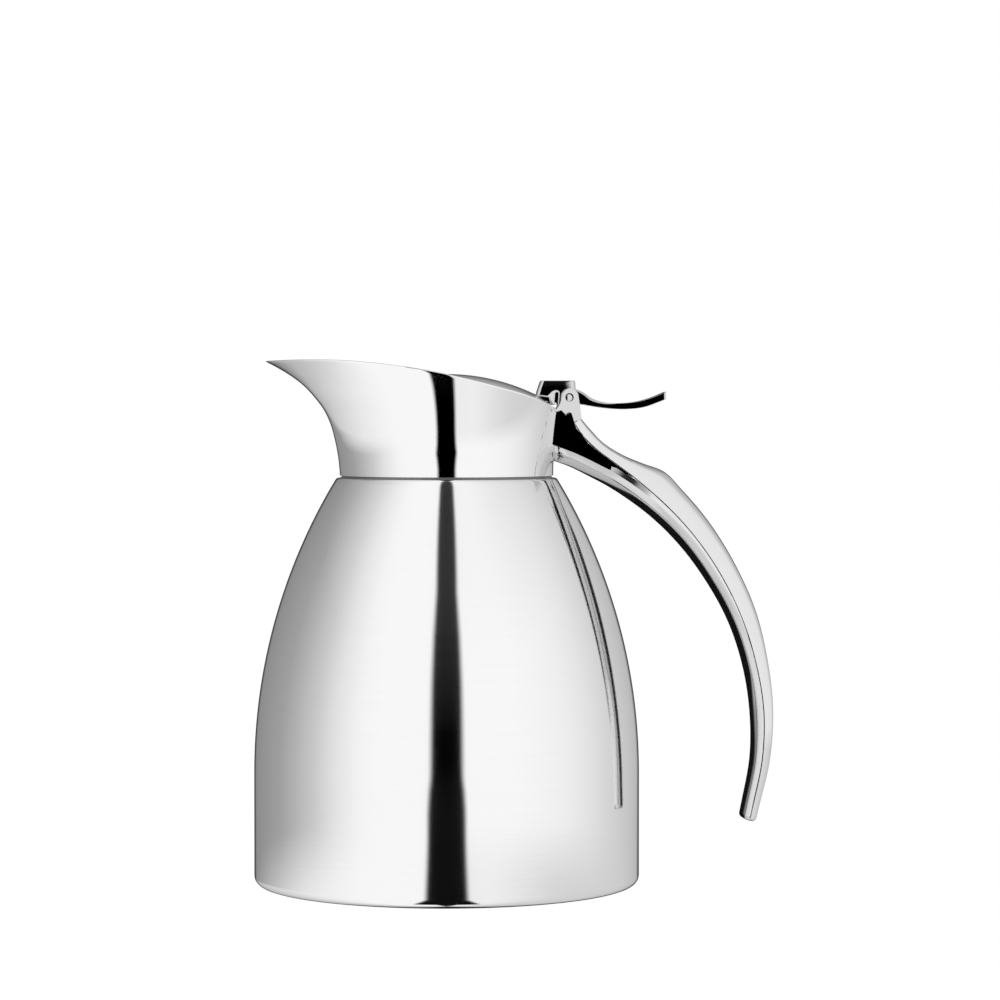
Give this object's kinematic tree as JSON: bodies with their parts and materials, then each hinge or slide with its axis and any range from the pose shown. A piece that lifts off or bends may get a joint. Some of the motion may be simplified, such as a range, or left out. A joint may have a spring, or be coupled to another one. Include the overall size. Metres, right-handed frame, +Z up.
{
  "type": "thermal carafe",
  "caption": "Small double-walled steel thermal jug with a flared pouring collar, a C-shaped side handle and a hinged domed lid opened by a thumb lever.",
  "frame": {"origin": "centre of the foot ring on the table", "axes": "+Z up, -X towards the spout, +X towards the handle, Y along the hinge pin"},
  "size_m": [0.1298, 0.0962, 0.1309],
  "materials": {
    "polished_steel": "mirror polished stainless steel",
    "polished_casting": "mirror polished cast stainless steel",
    "plain_steel": "plain stainless steel",
    "satin_steel": "satin stainless steel",
    "vessel_steel": "bright rolled stainless steel",
    "foil": "bright foil",
    "solder": "dull sealing metal",
    "foam": "rigid insulating foam",
    "silicone": "soft translucent silicone"
  },
  "bodies": {
    "jug": {"outer_shell": "polished_steel", "base_pan": "plain_steel", "base_cover": "satin_steel", "vacuum_plug": "solder", "getter": "plain_steel", "vessel_upper": "vessel_steel", "vessel_lower": "vessel_steel", "heat_shield": "foil", "spout_collar": "polished_steel", "pouring_ring": "vessel_steel", "hinge_bracket": "polished_casting", "handle_back": "polished_steel", "handle_grip": "polished_steel", "hinge_pin": "plain_steel"},
    "lid": {"lid_dome": "polished_steel", "lid_pan": "vessel_steel", "lid_fill": "foam", "lid_gasket": "silicone", "lid_rivets": "plain_steel", "hinge_strap": "polished_casting", "thumb_lever": "polished_casting"}
  },
  "joints": [
    {"name": "lid_hinge", "type": "hinge", "parent": "jug", "child": "lid", "pos_m": [0.0304, 0, 0.12155], "axis": [0, 1, 0], "range_deg": [0, 35]}
  ]
}
